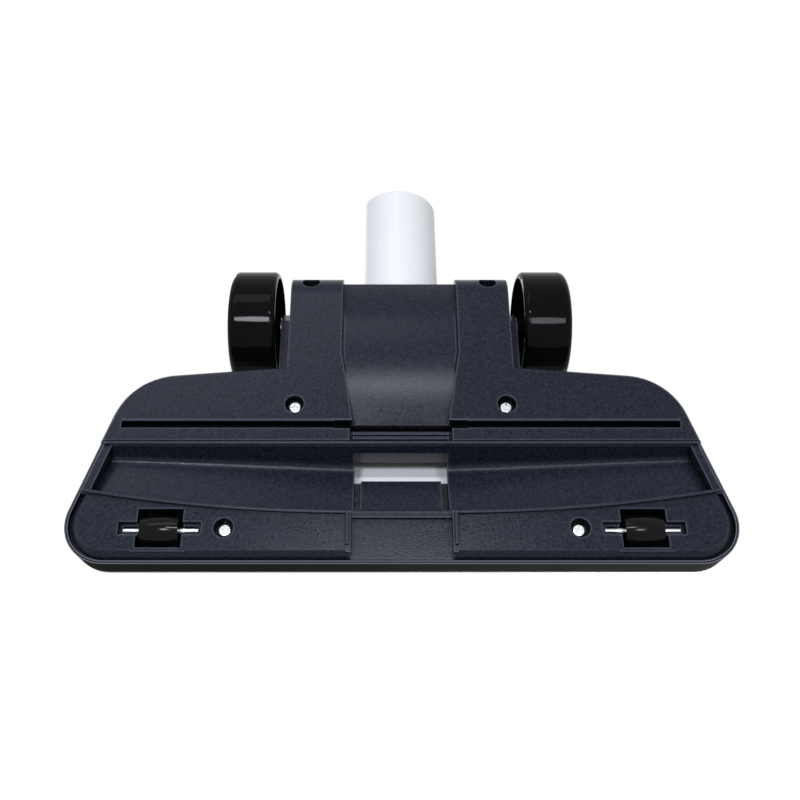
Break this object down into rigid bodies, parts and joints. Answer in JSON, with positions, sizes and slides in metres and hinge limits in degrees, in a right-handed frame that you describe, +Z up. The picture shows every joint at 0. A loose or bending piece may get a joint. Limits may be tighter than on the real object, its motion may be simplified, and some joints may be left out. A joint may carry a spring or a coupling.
{
  "type": "vacuum floor brush head",
  "caption": "Wide vacuum floor head with a black ribbed sole, white cover, tilting neck socket, rear wheels, front rollers and a pedal-worked bristle bar.",
  "frame": {"origin": "on the floor under the middle of the head's box", "axes": "+X across the head, +Y from the front edge to the neck, +Z up from the floor"},
  "size_m": [0.27, 0.1906, 0.0585],
  "materials": {
    "sole_plastic": "fine grain, bluish black",
    "white_plastic": "satin white",
    "bumper_rubber": "dull olive black",
    "wheel_plastic": "polished black",
    "roller_plastic": "black",
    "pedal_plastic": "grey",
    "bar_plastic": "black",
    "bristle_nylon": "cut bristles",
    "steel": "drawn and zinc plated",
    "foam": "closed-cell foam",
    "felt": "felt"
  },
  "bodies": {
    "head": {"base_shell": "sole_plastic", "top_cover": "white_plastic", "bumper_strip": "bumper_rubber", "duct_gasket": "foam", "drum_seal_upper": "felt", "drum_seal_lower": "felt", "pedal_pin": "steel", "roller_pin_left": "steel", "return_spring_left": "steel", "screw_front_left": "steel", "screw_rear_left": "steel", "screw_tail_left": "steel", "roller_pin_right": "steel", "return_spring_right": "steel", "screw_front_right": "steel", "screw_rear_right": "steel", "screw_tail_right": "steel"},
    "neck_tube": {"neck": "white_plastic"},
    "rear_wheel_left": {"wheel_left": "wheel_plastic", "wheel_axle_left": "steel", "axle_clip_left": "steel"},
    "rear_wheel_right": {"wheel_right": "wheel_plastic", "wheel_axle_right": "steel", "axle_clip_right": "steel"},
    "front_roller_left": {"roller_left": "roller_plastic"},
    "front_roller_right": {"roller_right": "roller_plastic"},
    "foot_pedal": {"pedal": "pedal_plastic"},
    "brush": {"brush_bar": "bar_plastic", "bristle_strip": "bristle_nylon"}
  },
  "joints": [
    {"name": "neck_tilt", "type": "hinge", "parent": "head", "child": "neck_tube", "pos_m": [0, 0.01185, 0.0315], "axis": [1, 0, 0], "range_deg": [0, 75]},
    {"name": "wheel_left_spin", "type": "hinge", "parent": "head", "child": "rear_wheel_left", "pos_m": [0.0665, 0.02435, 0.0265], "axis": [1, 0, 0], "continuous": true},
    {"name": "wheel_right_spin", "type": "hinge", "parent": "head", "child": "rear_wheel_right", "pos_m": [-0.0665, 0.02435, 0.0265], "axis": [1, 0, 0], "continuous": true},
    {"name": "roller_left_spin", "type": "hinge", "parent": "head", "child": "front_roller_left", "pos_m": [0.0964, -0.08135, 0.0065], "axis": [1, 0, 0], "continuous": true},
    {"name": "roller_right_spin", "type": "hinge", "parent": "head", "child": "front_roller_right", "pos_m": [-0.0964, -0.08135, 0.0065], "axis": [1, 0, 0], "continuous": true},
    {"name": "pedal_rock", "type": "hinge", "parent": "head", "child": "foot_pedal", "pos_m": [0, -0.02115, 0.0435], "axis": [1, 0, 0], "range_deg": [0, 15.2], "stiffness_Nm_per_rad": 0.2, "springref_deg": -17.19},
    {"name": "brush_drop", "type": "slide", "parent": "head", "child": "brush", "axis": [0, 0, -1], "range_m": [0, 0.004], "deforming": ["return_spring_left", "return_spring_right"]}
  ],
  "couplings": [
    {"joint": "brush_drop", "follows": "pedal_rock", "m_per_rad": 0.01498}
  ]
}
